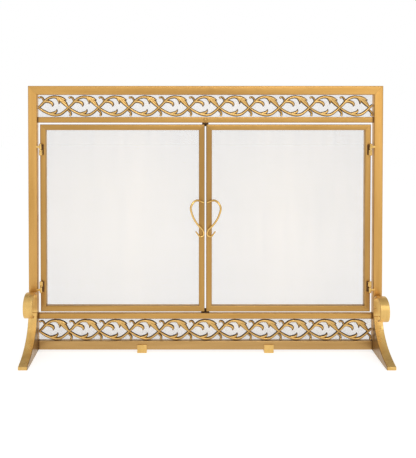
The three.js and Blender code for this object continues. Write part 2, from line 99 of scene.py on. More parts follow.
class Nodes:
    """A new material and a short way to add and link its nodes."""

    def __init__(self, name):
        self.material = bpy.data.materials.new(name)
        self.material.use_nodes = True
        self.tree = self.material.node_tree
        self.shader = self.tree.nodes["Principled BSDF"]

    def add(self, kind, **settings):
        """A node with its properties and inputs set by name."""
        node = self.tree.nodes.new("ShaderNode" + kind)
        for key, value in settings.items():
            if hasattr(node, key):
                setattr(node, key, value)
            else:
                node.inputs[key.replace("_", " ")].default_value = value
        return node

    def link(self, source, target):
        self.tree.links.new(source, target)

    def noise(self, scale, detail=3.0, roughness=0.5, stretch=(1, 1, 1)):
        """Noise in the object's own space; a small stretch on an axis draws it out along that axis."""
        place = self.add("TexCoord")
        scaled = self.add("VectorMath", operation="MULTIPLY")
        scaled.inputs[1].default_value = stretch
        self.link(place.outputs["Object"], scaled.inputs[0])
        noise = self.add("TexNoise", Scale=scale, Detail=detail, Roughness=roughness)
        self.link(scaled.outputs[0], noise.inputs["Vector"])
        return noise.outputs["Fac"]

    def along(self, axis, near, far, top=1):
        """From 0 to top as the object's coordinate on an axis, without its sign, goes from near to
        far."""
        place = self.add("TexCoord")
        split = self.add("SeparateXYZ")
        self.link(place.outputs["Object"], split.inputs["Vector"])
        size = self.add("Math", operation="ABSOLUTE")
        self.link(split.outputs[axis], size.inputs[0])
        return self.span(size.outputs[0], 0, top, near, far)

    def ramp(self, value, stops):
        ramp = self.add("ValToRGB")
        fill_ramp(ramp, stops)
        self.link(value, ramp.inputs["Fac"])
        return ramp.outputs["Color"]

    def span(self, value, low, high, from_low=NOISE_LOW, from_high=NOISE_HIGH):
        spread = self.add("MapRange", From_Min=from_low, From_Max=from_high, To_Min=low, To_Max=high)
        self.link(value, spread.inputs["Value"])
        return spread.outputs["Result"]

    def mix(self, factor, first, second, blend="MIX"):
        mix = self.add("Mix", data_type="RGBA", blend_type=blend)
        for socket, value in ((0, factor), (6, first), (7, second)):
            if isinstance(value, bpy.types.NodeSocket):
                self.link(value, mix.inputs[socket])
            else:
                mix.inputs[socket].default_value = value
        return mix.outputs[2]

    def bump(self, height, distance, strength=1.0):
        bump = self.add("Bump", Distance=distance, Strength=strength)
        self.link(height, bump.inputs["Height"])
        self.link(bump.outputs["Normal"], self.shader.inputs["Normal"])


def sprayed_gold(name, tone, roughness, stretch=(1, 1, 1), shades=(), paint=GOLD_PAINT):
    """Satin gold paint: drifts of tone drawn out along the piece, fine metallic flake and a faint
    orange peel. The tone scales its lightness, for lighter and darker copies that paint in light and
    shade. A shade is painted shade that darkens the paint along an axis: the axis, where it starts,
    where it is full, and how strong it is there."""
    n = Nodes(name)
    dark, light = ([tone * c for c in drift] for drift in paint)
    drift = n.ramp(n.noise(DRIFTS, 4, 0.6, stretch), ((NOISE_LOW, dark), (NOISE_HIGH, light)))
    flake = n.ramp(n.noise(FLAKE, 1), ((0.35, DULL_FLAKE), (0.65, WHITE)))
    color = n.mix(1.0, drift, flake, "MULTIPLY")
    for axis, start, full, strength in shades:
        color = n.mix(n.along(axis, start, full, strength), color, GOLD_SHADE)
    n.link(color, n.shader.inputs["Base Color"])
    n.link(n.span(n.noise(SHEEN, 4), roughness - 0.05, roughness + 0.06), n.shader.inputs["Roughness"])
    n.shader.inputs["Metallic"].default_value = 0.8
    n.bump(n.noise(PEEL, 2), 0.04 * MM)
    return n.material


def painted_shade_cast(name):
    """Rough cast metal in the same gold, with a painted highlight on the face of the relief, painted
    shade where the relief falls back from its face, and plain again on its flat back."""
    n = Nodes(name)
    cast_light_and_shade = n.ramp(n.along("Y", DOOR_Y + 0.4 * MM, DOOR_Y + VINE_RELIEF), CAST_LIGHT_AND_SHADE)
    grain = n.ramp(n.noise(GRAIN, 4), ((0.35, DULL_GRAIN), (0.65, WHITE)))
    n.link(n.mix(1.0, cast_light_and_shade, grain, "MULTIPLY"), n.shader.inputs["Base Color"])
    recess = n.along("Y", DOOR_Y + 1 * MM, DOOR_Y + 2.6 * MM)
    n.link(n.span(recess, 0.34, 0.75, 0, 1), n.shader.inputs["Roughness"])
    n.link(n.span(recess, 0.85, 0.2, 0, 1), n.shader.inputs["Metallic"])
    n.bump(n.noise(PITS, 4), 0.25 * MM)
    return n.material


def plain_finish(name, dark, light, metallic, roughness, scale, bump, stretch=(1, 1, 1)):
    """A finish of one tone with a fine mottle, of so many patches per metre."""
    n = Nodes(name)
    tone = n.ramp(n.noise(scale, 3, 0.5, stretch), ((NOISE_LOW, dark), (NOISE_HIGH, light)))
    n.link(tone, n.shader.inputs["Base Color"])
    n.link(n.span(n.noise(scale / 3, 3), roughness - 0.06, roughness + 0.06), n.shader.inputs["Roughness"])
    n.shader.inputs["Metallic"].default_value = metallic
    n.bump(n.noise(scale * 2, 2), bump)
    return n.material


# Painted shades, where shade falls or dark surroundings reflect: the axis, where the shade starts, where
# it is full, and how strong it is there
RAIL_END_SHADE = ("X", CLEAR_X - 7 * MM, CLEAR_X - 0.5 * MM, 1)  # painted shade beside the welds, where the rails meet the stiles
HINGE_LEAF_SHADE = ("Y", FRONT_Y + 1 * MM, FRONT_Y + 4.5 * MM, 1)  # painted shade on the leaves, behind the knuckles
FOOT_INSIDE_SHADE = ("X", CLEAR_X + 2.4 * MM, CLEAR_X + 0.4 * MM, 0.66)  # painted shade on the sides facing the other foot
# Painted shade towards the toe, where the foot tilts up
FOOT_TOE_SHADE = ("Z", 60 * MM, 20 * MM, 0.2)
STILE_SHADE_BELOW_HEAD = ("Z", 780 * MM, 380 * MM, 0.2)  # painted shade, so the stiles are lighter at the top
# Painted shade towards the middle of the top rail, so its ends are lighter
RAIL_MIDDLE_SHADE = ("X", 480 * MM, 20 * MM, 0.24)
SHADE_ABOVE_HOOKS = ("Z", 395 * MM, 425 * MM, 0.2)  # painted shade on the lock stiles, from the hooks upwards

# The stretch of a paint's drifts: a small number on an axis draws them out along it
EVEN, UPRIGHT, LEVEL, LENGTHWISE = (1, 1, 1), (1, 1, 0.06), (0.06, 1, 1), (1, 0.2, 0.2)
SATIN, HINGE_SHINE, FOOT_SHINE, WIRE_SHINE = 0.34, 0.26, 0.3, 0.2  # roughness

# Copies of one gold paint with tones set part by part: lighter on the frame's uprights and the feet,
# darker on the rails and door rails, as painted light and shade.
FRAME_UPRIGHT = sprayed_gold("frame_gold_upright", 1.16, SATIN, UPRIGHT, (STILE_SHADE_BELOW_HEAD,))
FRAME_LEVEL = sprayed_gold("frame_gold_level", 1, SATIN, LEVEL, (RAIL_MIDDLE_SHADE,))
WELDED_RAIL = sprayed_gold("welded_rail_gold", 0.88, SATIN, LEVEL, (RAIL_END_SHADE,))
BOTTOM_RAIL = sprayed_gold("bottom_rail_gold", 0.84, SATIN, LEVEL, (RAIL_END_SHADE,), PALE_PAINT)
DOOR_UPRIGHT = sprayed_gold("door_gold_upright", 0.92, SATIN, UPRIGHT, (STILE_SHADE_BELOW_HEAD,))
DOOR_LEVEL = sprayed_gold("door_gold_level", 0.79, SATIN, LEVEL)
# The lock stiles take a darker copy of the door gold as painted shade.
SHADED_LOCK_STILE = sprayed_gold("lock_stile_gold", 0.78, SATIN, UPRIGHT, (SHADE_ABOVE_HOOKS,))
HINGE_GOLD = sprayed_gold("hinge_gold", 1.4, HINGE_SHINE, EVEN, (HINGE_LEAF_SHADE,), YELLOW_PAINT)
FOOT_SHADES = (FOOT_INSIDE_SHADE, FOOT_TOE_SHADE)
FOOT_GOLD = sprayed_gold("foot_gold", 1.53, FOOT_SHINE, UPRIGHT, FOOT_SHADES, YELLOW_PAINT)

WIRE_COAT = (0.38, 0.26, 0.12), (0.66, 0.49, 0.27)
ENAMEL = (0.08, 0.04, 0.014), (0.13, 0.066, 0.026)
BLACK = (0.01, 0.01, 0.01), (0.018, 0.018, 0.018)
FINISHES = {
    # The gold of the scrolls and the bright gold of the handles are lighter copies of the paint, as
    # painted highlight.
    GOLD: sprayed_gold("sprayed_gold", 1.38, FOOT_SHINE, LENGTHWISE, (), YELLOW_PAINT),
    CAST: painted_shade_cast("antique_cast_gold"),
    HARDWARE: sprayed_gold("bright_gold", 1.42, WIRE_SHINE, EVEN, (), YELLOW_PAINT),
    WIRE: plain_finish("wire_gold", *WIRE_COAT, 0.8, 0.4, DRIFTS, 0.01 * MM, UPRIGHT),
    DARK: plain_finish("dark_enamel", *ENAMEL, 0.5, 0.42, 200, 0.03 * MM),
    PLASTIC: plain_finish("black_plastic", *BLACK, 0, 0.6, 400, 0.05 * MM),
}


# Making pieces


def add_piece(name, mesh, body, slot, node, material=None):
    """A finished mesh as one piece on a body, standing for the CAD node named."""
    piece = bpy.data.objects.new(name, mesh)
    bpy.context.scene.collection.objects.link(piece)
    mesh.materials.append(material or FINISHES[slot])
    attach(piece, body)
    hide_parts(node)
    return piece


def mesh_from(name, verts, faces, sharp_angle=35):
    """A mesh with its faces outwards, smooth but at edges sharper than the angle."""
    mesh = bpy.data.meshes.new(name)
    mesh.from_pydata(verts, [], faces)
    mesh.validate()
    work = bmesh.new()
    work.from_mesh(mesh)
    bmesh.ops.recalc_face_normals(work, faces=work.faces)
    work.to_mesh(mesh)
    work.free()
    mesh.shade_smooth()
    mesh.set_sharp_from_angle(angle=math.radians(sharp_angle))
    return mesh


def skin(rings, sides):
    """Faces that join rings of so many points in turn and close both ends."""
    faces = []
    for start in range(0, (rings - 1) * sides, sides):
        for k in range(sides):
            a, b = start + k, start + (k + 1) % sides
            faces.append((a, b, b + sides, a + sides))
    faces.append(tuple(range(sides)))
    faces.append(tuple(range((rings - 1) * sides, rings * sides)))
    return faces


def soften(piece, width):
    """Rounds a piece's sharp edges without swelling it."""
    bevel = piece.modifiers.new("rounded_edges", "BEVEL")
    bevel.width = width
    bevel.segments = 3
    bevel.limit_method = "ANGLE"
    bevel.angle_limit = math.radians(30)
    bevel.harden_normals = True
    return piece


def rounded_section(face, depth, radius, steps=5):
    """Points round a rectangle with round corners, across the face and into the depth."""
    points = []
    for corner in range(4):
        start = corner * math.pi / 2
        across = (face / 2 - radius) * (1, -1, -1, 1)[corner]
        inward = (depth / 2 - radius) * (1, 1, -1, -1)[corner]
        for step in range(steps + 1):
            angle = start + step * math.pi / 2 / steps
            points.append((across + radius * math.cos(angle), inward + radius * math.sin(angle)))
    return points


def tube(name, node, body, upright, outward, mitres, radius, material):
    """A round-cornered tube in the box of a CAD tube, longest at the mitres on its outward side."""
    low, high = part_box(node)
    along = 2 if upright else 0
    across = 0 if upright else 2
    face = high[across] - low[across]
    depth = high.y - low.y
    middle = (low[across] + high[across]) / 2
    section = rounded_section(face, depth, radius)
    verts = []
    stations = [(low[along], 1 if mitres[0] else 0), (high[along], -1 if mitres[1] else 0)]
    for place, lean in stations:
        for u, v in section:
            run = place + lean * (face / 2 - outward * u)
            point = [0, low.y + depth / 2 + v, 0]
            point[along] = run
            point[across] = middle + u
            verts.append(point)
    mesh = mesh_from(name, verts, skin(2, len(section)))
    return add_piece(name, mesh, body, GOLD, node, material)


def side_profile(name, outline, node, body, slot, edge, material=None):
    """An outline of (y, z) points extruded across the width of a CAD node, with softened edges."""
    low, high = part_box(node)
    verts = [(x, y, z) for x in (low.x, high.x) for y, z in outline]
    mesh = mesh_from(name, verts, skin(2, len(outline)))
    return soften(add_piece(name, mesh, body, slot, node, material), edge)


def catmull_rom(p, q, r, s, t):
    """One coordinate of a curve that runs from q to r as t goes from 0 to 1."""
    slope = (r - p) * t
    square = (2 * p - 5 * q + 4 * r - s) * t * t
    cube = (3 * q - p - 3 * r + s) * t * t * t
    return 0.5 * (2 * q + slope + square + cube)


def smooth_line(points, steps):
    """Points along a smooth curve through the given ones, of any number of coordinates."""
    padded = [points[0], *points, points[-1]]
    line = []
    for near in zip(padded, padded[1:], padded[2:], padded[3:]):
        for step in range(steps):
            line.append(tuple(catmull_rom(*values, step / steps) for values in zip(*near)))
    line.append(tuple(points[-1]))
    return line


def bezier(start, control_a, control_b, end, steps):
    """Points along a cubic curve with two control points."""
    line = []
    for step in range(steps + 1):
        t = step / steps
        s = 1 - t
        line.append(
            tuple(
                s**3 * p + 3 * s * s * t * q + 3 * s * t * t * r + t**3 * w
                for p, q, r, w in zip(start, control_a, control_b, end)
            )
        )
    return line


def ribbon(line, half):
    """The outline of a strip of even thickness about a line of 2-D points."""
    left, right = [], []
    for i, (a, b) in enumerate(line):
        before = line[max(i - 1, 0)]
        after = line[min(i + 1, len(line) - 1)]
        span = math.hypot(after[0] - before[0], after[1] - before[1])
        across = (-(after[1] - before[1]) / span * half, (after[0] - before[0]) / span * half)
        left.append((a + across[0], b + across[1]))
        right.append((a - across[0], b - across[1]))
    return left + right[::-1]


def round_wire(line, radii, sides):
    """Vertices and faces of a round wire with closed ends along a line of 3-D points."""
    line = [Vector(point) for point in line]
    verts = []
    tangent = (line[1] - line[0]).normalized()
    normal = tangent.orthogonal().normalized()
    for i, (point, radius) in enumerate(zip(line, radii)):
        ahead = line[min(i + 1, len(line) - 1)] - line[max(i - 1, 0)]
        turn = tangent.rotation_difference(ahead.normalized())
        tangent = ahead.normalized()
        normal.rotate(turn)
        other = tangent.cross(normal)
        for k in range(sides):
            angle = 2 * math.pi * k / sides
            verts.append(point + radius * (math.cos(angle) * normal + math.sin(angle) * other))
    return verts, skin(len(line), sides)


def turned(centre_x, centre_y, profile, sides=28):
    """Vertices and faces of a piece turned about an upright axis. Profile: closed ring of (r, z)."""
    verts, faces = [], []
    count = len(profile)
    for k in range(sides):
        angle = 2 * math.pi * k / sides
        for radius, z in profile:
            verts.append((centre_x + radius * math.cos(angle), centre_y + radius * math.sin(angle), z))
    for k in range(sides):
        for i in range(count):
            a, b = k * count + i, k * count + (i + 1) % count
            c, d = ((k + 1) % sides) * count + (i + 1) % count, ((k + 1) % sides) * count + i
            faces.append((a, b, c, d))
    return verts, faces


def dome(radius, crown, steps):
    """(radius, height) points up the side of a low dome, to just short of its top."""
    angles = [i * math.pi / 2 / steps for i in range(steps)]
    return [(radius * math.cos(angle), crown * math.sin(angle)) for angle in angles]


def block(low, high, edge):
    """Vertices and faces of a box with softened edges."""
    work = bmesh.new()
    bmesh.ops.create_cube(work, size=1)
    for vert in work.verts:
        for axis in range(3):
            vert.co[axis] = low[axis] if vert.co[axis] < 0 else high[axis]
    bmesh.ops.bevel(work, geom=work.edges[:], offset=edge, segments=3, affect="EDGES", profile=0.5)
    work.verts.index_update()
    verts = [tuple(vert.co) for vert in work.verts]
    faces = [tuple(vert.index for vert in face.verts) for face in work.faces]
    work.free()
    return verts, faces


def corner_block(corner_a, corner_b, edge):
    """A soft-edged block between two corners given in any order."""
    low = [min(a, b) for a, b in zip(corner_a, corner_b)]
    high = [max(a, b) for a, b in zip(corner_a, corner_b)]
    return block(low, high, edge)


def together(*parts):
    """Several lists of vertices and faces as one."""
    verts, faces = [], []
    for part_verts, part_faces in parts:
        start = len(verts)
        verts.extend(part_verts)
        faces.extend(tuple(start + i for i in face) for face in part_faces)
    return verts, faces


# Frame and doors

FRAME_CORNER = 3.2 * MM
DOOR_CORNER = 2.6 * MM


def build_frame_tubes():
    for side_name, side in SIDES:
        name = side_name + "_stile"
        tube(name + "_tube", name, "frame", True, side, (False, True), FRAME_CORNER, FRAME_UPRIGHT)
    tube("top_rail_tube", "top_rail", "frame", False, 1, (True, True), FRAME_CORNER, FRAME_LEVEL)
    square = (False, False)
    for name, corner, material in (
        ("bottom_rail", FRAME_CORNER, BOTTOM_RAIL),
        ("upper_middle_rail", DOOR_CORNER, WELDED_RAIL),
        ("lower_middle_rail", DOOR_CORNER, WELDED_RAIL),
    ):
        tube(name + "_tube", name, "frame", False, 1, square, corner, material)


def build_door_tubes(side_name, side):
    door = side_name + "_door"
    mitred = (True, True)
    for place, upright, outward, material in (
        ("hinge_stile", True, side, DOOR_UPRIGHT),
        ("lock_stile", True, -side, SHADED_LOCK_STILE),
        ("top_rail", False, 1, DOOR_LEVEL),
        ("bottom_rail", False, -1, DOOR_LEVEL),
    ):
        node = door + "_" + place
        tube(node + "_tube", node, door, upright, outward, mitred, DOOR_CORNER, material)


# Wire cloth

WIRE_PITCH = 2.6 * MM
WIRE_RADIUS = 0.18 * MM
# Thicker wires darken the lower band, standing in for the shade on the floor behind it: painted shade.
LOWER_BAND_WIRE_RADIUS = 0.25 * MM


def straight_wire(start, end, radius):
    """A four-sided wire, which smooth shading makes look round."""
    return round_wire((start, end), (radius, radius), 4)


def wire_cloth(name, node, body, radius=WIRE_RADIUS):
    """Upright wires in front of level ones, edge to edge of the CAD sheet."""
    low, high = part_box(node)
    middle = (low.y + high.y) / 2
    wires = []
    columns = round((high.x - low.x) / WIRE_PITCH)
    rows = round((high.z - low.z) / WIRE_PITCH)
    for i in range(columns + 1):
        x = low.x + radius + (high.x - low.x - 2 * radius) * i / columns
        y = middle - radius
        wires.append(straight_wire((x, y, low.z), (x, y, high.z), radius))
    for i in range(rows + 1):
        z = low.z + radius + (high.z - low.z - 2 * radius) * i / rows
        y = middle + radius
        wires.append(straight_wire((low.x, y, z), (high.x, y, z), radius))
    mesh = mesh_from(name, *together(*wires), sharp_angle=100)
    return add_piece(name, mesh, body, WIRE, node)


# Vine bands

VINE_PITCH = 95.2 * MM  # from one crossing of the stems to the next
VINE_MODULES = 11
VINE_START_X = -CLEAR_X + 3 * MM  # the first crossing
VINE_DROP = 40 * MM  # from the top of a band's opening down to the crossings
STEM_POINTS = 9  # across the rounded face of a stem
FULL_HALF = 4.5 * MM  # half width from which a stem has the full relief
LEAST_RISE = 0.55  # of the relief, at the thinnest tips

# Strokes from one crossing to the next: [along, up] in pitches, half width in millimetres.
VINE_STROKES = (
    # upper stem
    ((0, 0, 3.6), (0.1, 0.09, 4.5), (0.2, 0.2, 4.7), (0.33, 0.305, 4.7), (0.48, 0.35, 4.8),
     (0.6, 0.337, 5.6), (0.69, 0.283, 6), (0.78, 0.2, 5.8), (0.89, 0.095, 5), (1, 0, 3.9)),
    # outer lobe of the upper leaf
    ((0.46, 0.352, 2.4), (0.58, 0.35, 4.2), (0.7, 0.328, 5.6), (0.82, 0.28, 5.4), (0.93, 0.245, 1.4)),
    # back of the upper leaf, down to the crossing
    ((0.76, 0.27, 3.6), (0.87, 0.19, 4.4), (0.94, 0.1, 3.2), (0.99, 0.03, 1.8)),
    # curl that hangs inside the leaf
    ((0.6, 0.32, 3.6), (0.665, 0.24, 4.2), (0.685, 0.17, 3.2), (0.67, 0.11, 1.2)),
    # inner leaf
    ((0.14, 0.15, 3.4), (0.24, 0.195, 4.4), (0.34, 0.195, 5), (0.43, 0.155, 5.4), (0.47, 0.095, 4.2),
     (0.455, 0.03, 1.2)),
    # lower stem
    ((0, 0, 3.6), (0.12, -0.088, 4.4), (0.25, -0.16, 4.6), (0.4, -0.22, 4.7), (0.57, -0.25, 4.7),
     (0.73, -0.22, 4.7), (0.87, -0.122, 4.4), (1, 0, 3.9)),
    # leaf and spur on the lower stem
    ((0.34, -0.19, 2.4), (0.46, -0.192, 5), (0.55, -0.162, 4.8), (0.6, -0.112, 3.4),
     (0.608, -0.05, 1.1)),
)
# Curls that end in a small ball.
VINE_CURLS = (
    ((0.22, 0.16, 2.8), (0.175, 0.23, 3.5), (0.145, 0.295, 3.5), (0.09, 0.342, 3.3), (0.035, 0.33, 3)),
    ((0.93, -0.06, 2.8), (1, -0.105, 3.6), (1.06, -0.165, 3.8), (1.075, -0.22, 3.6), (1.06, -0.255, 3)),
)
VINE_BALL = 3.9 * MM
# Beyond the last crossing a short stem runs up to the right stile.
VINE_END = ((0, 0, 3.9), (0.06, 0.055, 4), (0.093, 0.1, 2.4))


def relief(line):
    """A stem with a rounded face along a line of (x, z, half width) on the panel's plane."""
    verts = []
    for i, (x, z, half) in enumerate(line):
        before = line[max(i - 1, 0)]
        after = line[min(i + 1, len(line) - 1)]
        span = math.hypot(after[0] - before[0], after[1] - before[1])
        across_x = -(after[1] - before[1]) / span
        across_z = (after[0] - before[0]) / span
        rise = VINE_RELIEF * min(1, LEAST_RISE + (1 - LEAST_RISE) * half / FULL_HALF)
        for k in range(STEM_POINTS):
            angle = math.pi * k / (STEM_POINTS - 1)
            offset = half * math.cos(angle)
            y = DOOR_Y + VINE_RELIEF - rise * math.sin(angle)
            verts.append((x + offset * across_x, y, z + offset * across_z))
    return verts, skin(len(line), STEM_POINTS)


def ball(x, z, radius):
    """A bead on the panel, standing as proud as the stems."""
    work = bmesh.new()
    bmesh.ops.create_uvsphere(work, u_segments=12, v_segments=8, radius=radius)
    work.verts.index_update()
    middle = DOOR_Y + VINE_RELIEF / 2
    verts = [(x + v.co.x, middle + v.co.y, z + v.co.z) for v in work.verts]
    faces = [tuple(v.index for v in f.verts) for f in work.faces]
    work.free()
    return verts, faces


def vine_panel(band):
    """The crossing stems of one band, a module at a time, and the short stem that ends them."""
    crossing_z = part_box(band + "_band_mesh")[1].z + FIT - VINE_DROP
    parts = []

    def stem(stroke, x):
        points = [(x + u * VINE_PITCH, crossing_z + v * VINE_PITCH, half * MM) for u, v, half in stroke]
        return relief(smooth_line(points, 4))

    for module in range(VINE_MODULES):
        x = VINE_START_X + module * VINE_PITCH
        parts.extend(stem(stroke, x) for stroke in VINE_STROKES)
        for curl in VINE_CURLS:
            parts.append(stem(curl, x))
            u, v, _ = curl[-1]
            parts.append(ball(x + u * VINE_PITCH, crossing_z + v * VINE_PITCH, VINE_BALL))
    parts.append(stem(VINE_END, VINE_START_X + VINE_MODULES * VINE_PITCH))
    name = band + "_vines"
    mesh = mesh_from(name, *together(*parts), sharp_angle=70)
    add_piece(name, mesh, "frame", CAST, band + "_vine_panel")


# Feet

# Centre line of the scroll: [reach ahead of the frame's front face, height above the front foot] in
# millimetres.
SCROLL = (
    (2.8, 0.3), (2.8, 27.5), (3.5, 47.8), (12, 61.7), (30, 68.2), (51, 67.6),
    (70, 58.6), (80, 43), (80.5, 25.6), (74, 9.9), (62, 1.1), (48, 0.2),
)
STRAP = 5 * MM  # thickness of the scroll
FOOT_EDGE, SCROLL_EDGE = 1.6 * MM, 1.2 * MM  # how much their edges are eased
# The other sizes of the feet, in millimetres
REACH, TOE, HEEL = 148, 10.5, 4  # how far the front foot goes ahead, and the heights of its ends
REAR_REACH, REAR_TOE = 70, 6
SEAT = FIT / MM  # the gap between a front foot and its stile


def build_front_foot(side_name):
    """The splayed foot and the scroll that stands on it, as high as the CAD foot."""
    foot = side_name + "_front_foot"
    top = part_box(foot)[1].z / MM

    def ahead(reach, z):
        return (FRONT_Y - reach * MM, z * MM)

    curve = bezier(ahead(REACH, TOE), ahead(68, 27), ahead(12, 66), ahead(6, top), 28)
    outline = [ahead(SEAT, HEEL), ahead(108, 0), ahead(REACH, 0), *curve, ahead(SEAT, top)]
    side_profile(foot + "_bar", outline, foot, "frame", GOLD, FOOT_EDGE, FOOT_GOLD)

    scroll = side_name + "_foot_scroll"
    line = smooth_line([ahead(reach, top + rise) for reach, rise in SCROLL], 6)
    side_profile(scroll + "_strap", ribbon(line, STRAP / 2), scroll, "frame", GOLD, SCROLL_EDGE)


def build_rear_foot(side_name):
    """A low foot behind the stile, as high as the CAD foot."""
    foot = side_name + "_rear_foot"
    low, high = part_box(foot)

    def behind(reach, z):
        return (BACK_Y + reach * MM, z * MM)

    curve = bezier(behind(REAR_REACH, REAR_TOE), behind(34, 10), behind(8, 16), behind(6, 34), 16)
    outline = [(low.y, HEEL * MM), behind(30, 0), behind(REAR_REACH, 0), *curve, (low.y, high.z)]
    side_profile(foot + "_bar", outline, foot, "frame", GOLD, FOOT_EDGE)


# Hinges

KNUCKLE = 17 * MM  # height of one knuckle
KNUCKLE_RADIUS = 4.2 * MM
KNUCKLE_GAP = 0.4 * MM
KNUCKLE_EDGE = 0.7 * MM  # how much its ends are eased
BORE = 1.75 * MM  # radius
INSIDE_BARREL = 2.5 * MM  # from a hinge's axis to where a leaf starts, in the barrel's wall
TAB_HEIGHT, TAB_THICK = 6.5 * MM, 2.5 * MM  # the leaf on the stile
LEAF_WIDTH, LEAF_THICK, LEAF_EDGE = 8 * MM, 2.2 * MM, 0.9 * MM  # the leaf on the door
ARM_REACH = 6 * MM  # from the axis to the far side of the arm that joins barrel and leaf
ARM_MARGIN = 1 * MM
PIN_RADIUS = 1.5 * MM
PIN_CROWN, PIN_TIP = 1.7 * MM, 0.02 * MM  # height of its round ends, radius of the flat on them


def barrel(axis_x, axis_y, low_z):
    """A turned knuckle with eased ends and a bore for the pin."""
    high_z = low_z + KNUCKLE
    edge = KNUCKLE_EDGE
    ease = 0.3 * KNUCKLE_EDGE
    profile = (
        (BORE, low_z),
        (KNUCKLE_RADIUS - edge, low_z),
        (KNUCKLE_RADIUS - ease, low_z + ease),
        (KNUCKLE_RADIUS, low_z + edge),
        (KNUCKLE_RADIUS, high_z - edge),
        (KNUCKLE_RADIUS - ease, high_z - ease),
        (KNUCKLE_RADIUS - edge, high_z),
        (BORE, high_z),
    )
    return turned(axis_x, axis_y, profile)


def build_stile_knuckle(node, axis_x, axis_y, side):
    """The frame's knuckle, with a small tab on the face of the stile."""
    low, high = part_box(node)
    middle = (low.z + high.z) / 2
    outer = high.x if side > 0 else low.x
    tab_y = FRONT_Y - FIT
    tab = corner_block(
        (axis_x + side * INSIDE_BARREL, tab_y - TAB_THICK, middle - TAB_HEIGHT / 2),
        (outer, tab_y, middle + TAB_HEIGHT / 2),
        KNUCKLE_EDGE,
    )
    name = node + "_barrel"
    parts = together(barrel(axis_x, axis_y, low.z), tab)
    add_piece(name, mesh_from(name, *parts), "frame", HARDWARE, node, HINGE_GOLD)


def build_door_knuckle(node, door, axis_x, axis_y, side):
    """The door's knuckle, with a leaf on the face of the door as tall as both knuckles."""
    low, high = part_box(node)
    inner = low.x if side > 0 else high.x
    leaf = corner_block(
        (inner, high.y - LEAF_THICK, low.z),
        (inner + side * LEAF_WIDTH, high.y, high.z),
        LEAF_EDGE,
    )
    middle = (low.z + high.z) / 2
    stile_knuckle = node.replace("door_knuckle", "stile_knuckle")
    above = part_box(stile_knuckle)[0].z < middle
    low_z = middle + (KNUCKLE_GAP / 2 if above else -KNUCKLE_GAP / 2 - KNUCKLE)
    arm = corner_block(
        (axis_x - side * ARM_REACH, FRONT_Y - 2 * MM, low_z + ARM_MARGIN),
        (axis_x - side * INSIDE_BARREL, high.y - LEAF_THICK / 2, low_z + KNUCKLE - ARM_MARGIN),
        KNUCKLE_EDGE,
    )
    name = node + "_barrel"
    parts = together(barrel(axis_x, axis_y, low_z), leaf, arm)
    add_piece(name, mesh_from(name, *parts), door, HARDWARE, node, HINGE_GOLD)


def build_pin(node, axis_x, axis_y):
    """A pin with a round head at both ends."""
    low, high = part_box(node)
    head = dome(high.x - axis_x, PIN_CROWN, 6)
    low_seat, high_seat = low.z + PIN_CROWN, high.z - PIN_CROWN
    profile = [
        (PIN_TIP, low.z),
        *[(r, low_seat - h) for r, h in head[::-1]],
        (PIN_RADIUS, low_seat),
        (PIN_RADIUS, high_seat),
        *[(r, high_seat + h) for r, h in head],
        (PIN_TIP, high.z),
    ]
    name = node + "_turned"
    add_piece(name, mesh_from(name, *turned(axis_x, axis_y, profile, 20)), "frame", HARDWARE, node)


def build_hinges():
    for joint in frame["joints"]:
        door = joint["child"]
        side_name = door.replace("_door", "")
        side = 1 if side_name == "right" else -1
        axis_x, axis_y = joint["pos_m"][0], joint["pos_m"][1]
        for level in ("upper", "lower"):
            prefix = side_name + "_" + level
            build_stile_knuckle(prefix + "_stile_knuckle", axis_x, axis_y, side)
            build_door_knuckle(prefix + "_door_knuckle", door, axis_x, axis_y, side)
            build_pin(prefix + "_hinge_pin", axis_x, axis_y)


# Handles

# Centre line of a handle: [out from the meeting line, ahead of the door's face, height, radius] in
# millimetres.
HANDLE = (
    (6, 3.5, 477.6, 3.1), (14, 6.2, 481, 3.4), (27, 16, 485.5, 3.4), (39, 24, 479.5, 3.3),
    (46.5, 28, 465, 3.2), (44.5, 28, 449, 3.1), (35.5, 26, 426.7, 3.1), (22, 18, 406.1, 3.1),
    (10, 9, 392.4, 3.1), (5.8, 4.4, 381.6, 3.1), (7, 3.8, 372.8, 3), (14, 4.6, 369.4, 2.9),
    (20, 8, 372.3, 2.6), (30, 14, 386.5, 2),
)
# How the wire rounds off past its tip, in radii of the tip
TIP_STEPS = (0.35, 0.65, 0.87, 0.98)


def build_handle(door, side):
    """Half of the heart: a bent wire with a rounded tip."""
    points = [(side * out * MM, DOOR_Y - lift * MM, z * MM, r * MM) for out, lift, z, r in HANDLE]
    line = smooth_line(points, 8)
    tip = line[-1]
    before = Vector(line[-2][:3])
    ahead = (Vector(tip[:3]) - before).normalized()
    for step in TIP_STEPS:
        point = Vector(tip[:3]) + ahead * tip[3] * step
        line.append((*point, tip[3] * math.sqrt(1 - step * step)))
    name = door + "_handle_wire"
    verts, faces = round_wire([point[:3] for point in line], [point[3] for point in line], 18)
    add_piece(name, mesh_from(name, verts, faces, 60), door, HARDWARE, door + "_handle")


# Catches and small fittings

SCREW_CROWN, SCREW_TIP = 2.8 * MM, 0.05 * MM  # height of the head, radius of the flat on it
SCREW_SHANK = 2 * MM
SCREW_SIDES = 32
PLATE_THICK, PLATE_EDGE = 2.6 * MM, 0.8 * MM
LIP_HEIGHT, LIP_OVERLAP, LIP_EDGE = 2.4 * MM, 1.3 * MM, 0.6 * MM
STRIP_EDGE, RAIL_FOOT_EDGE = 0.5 * MM, 0.9 * MM


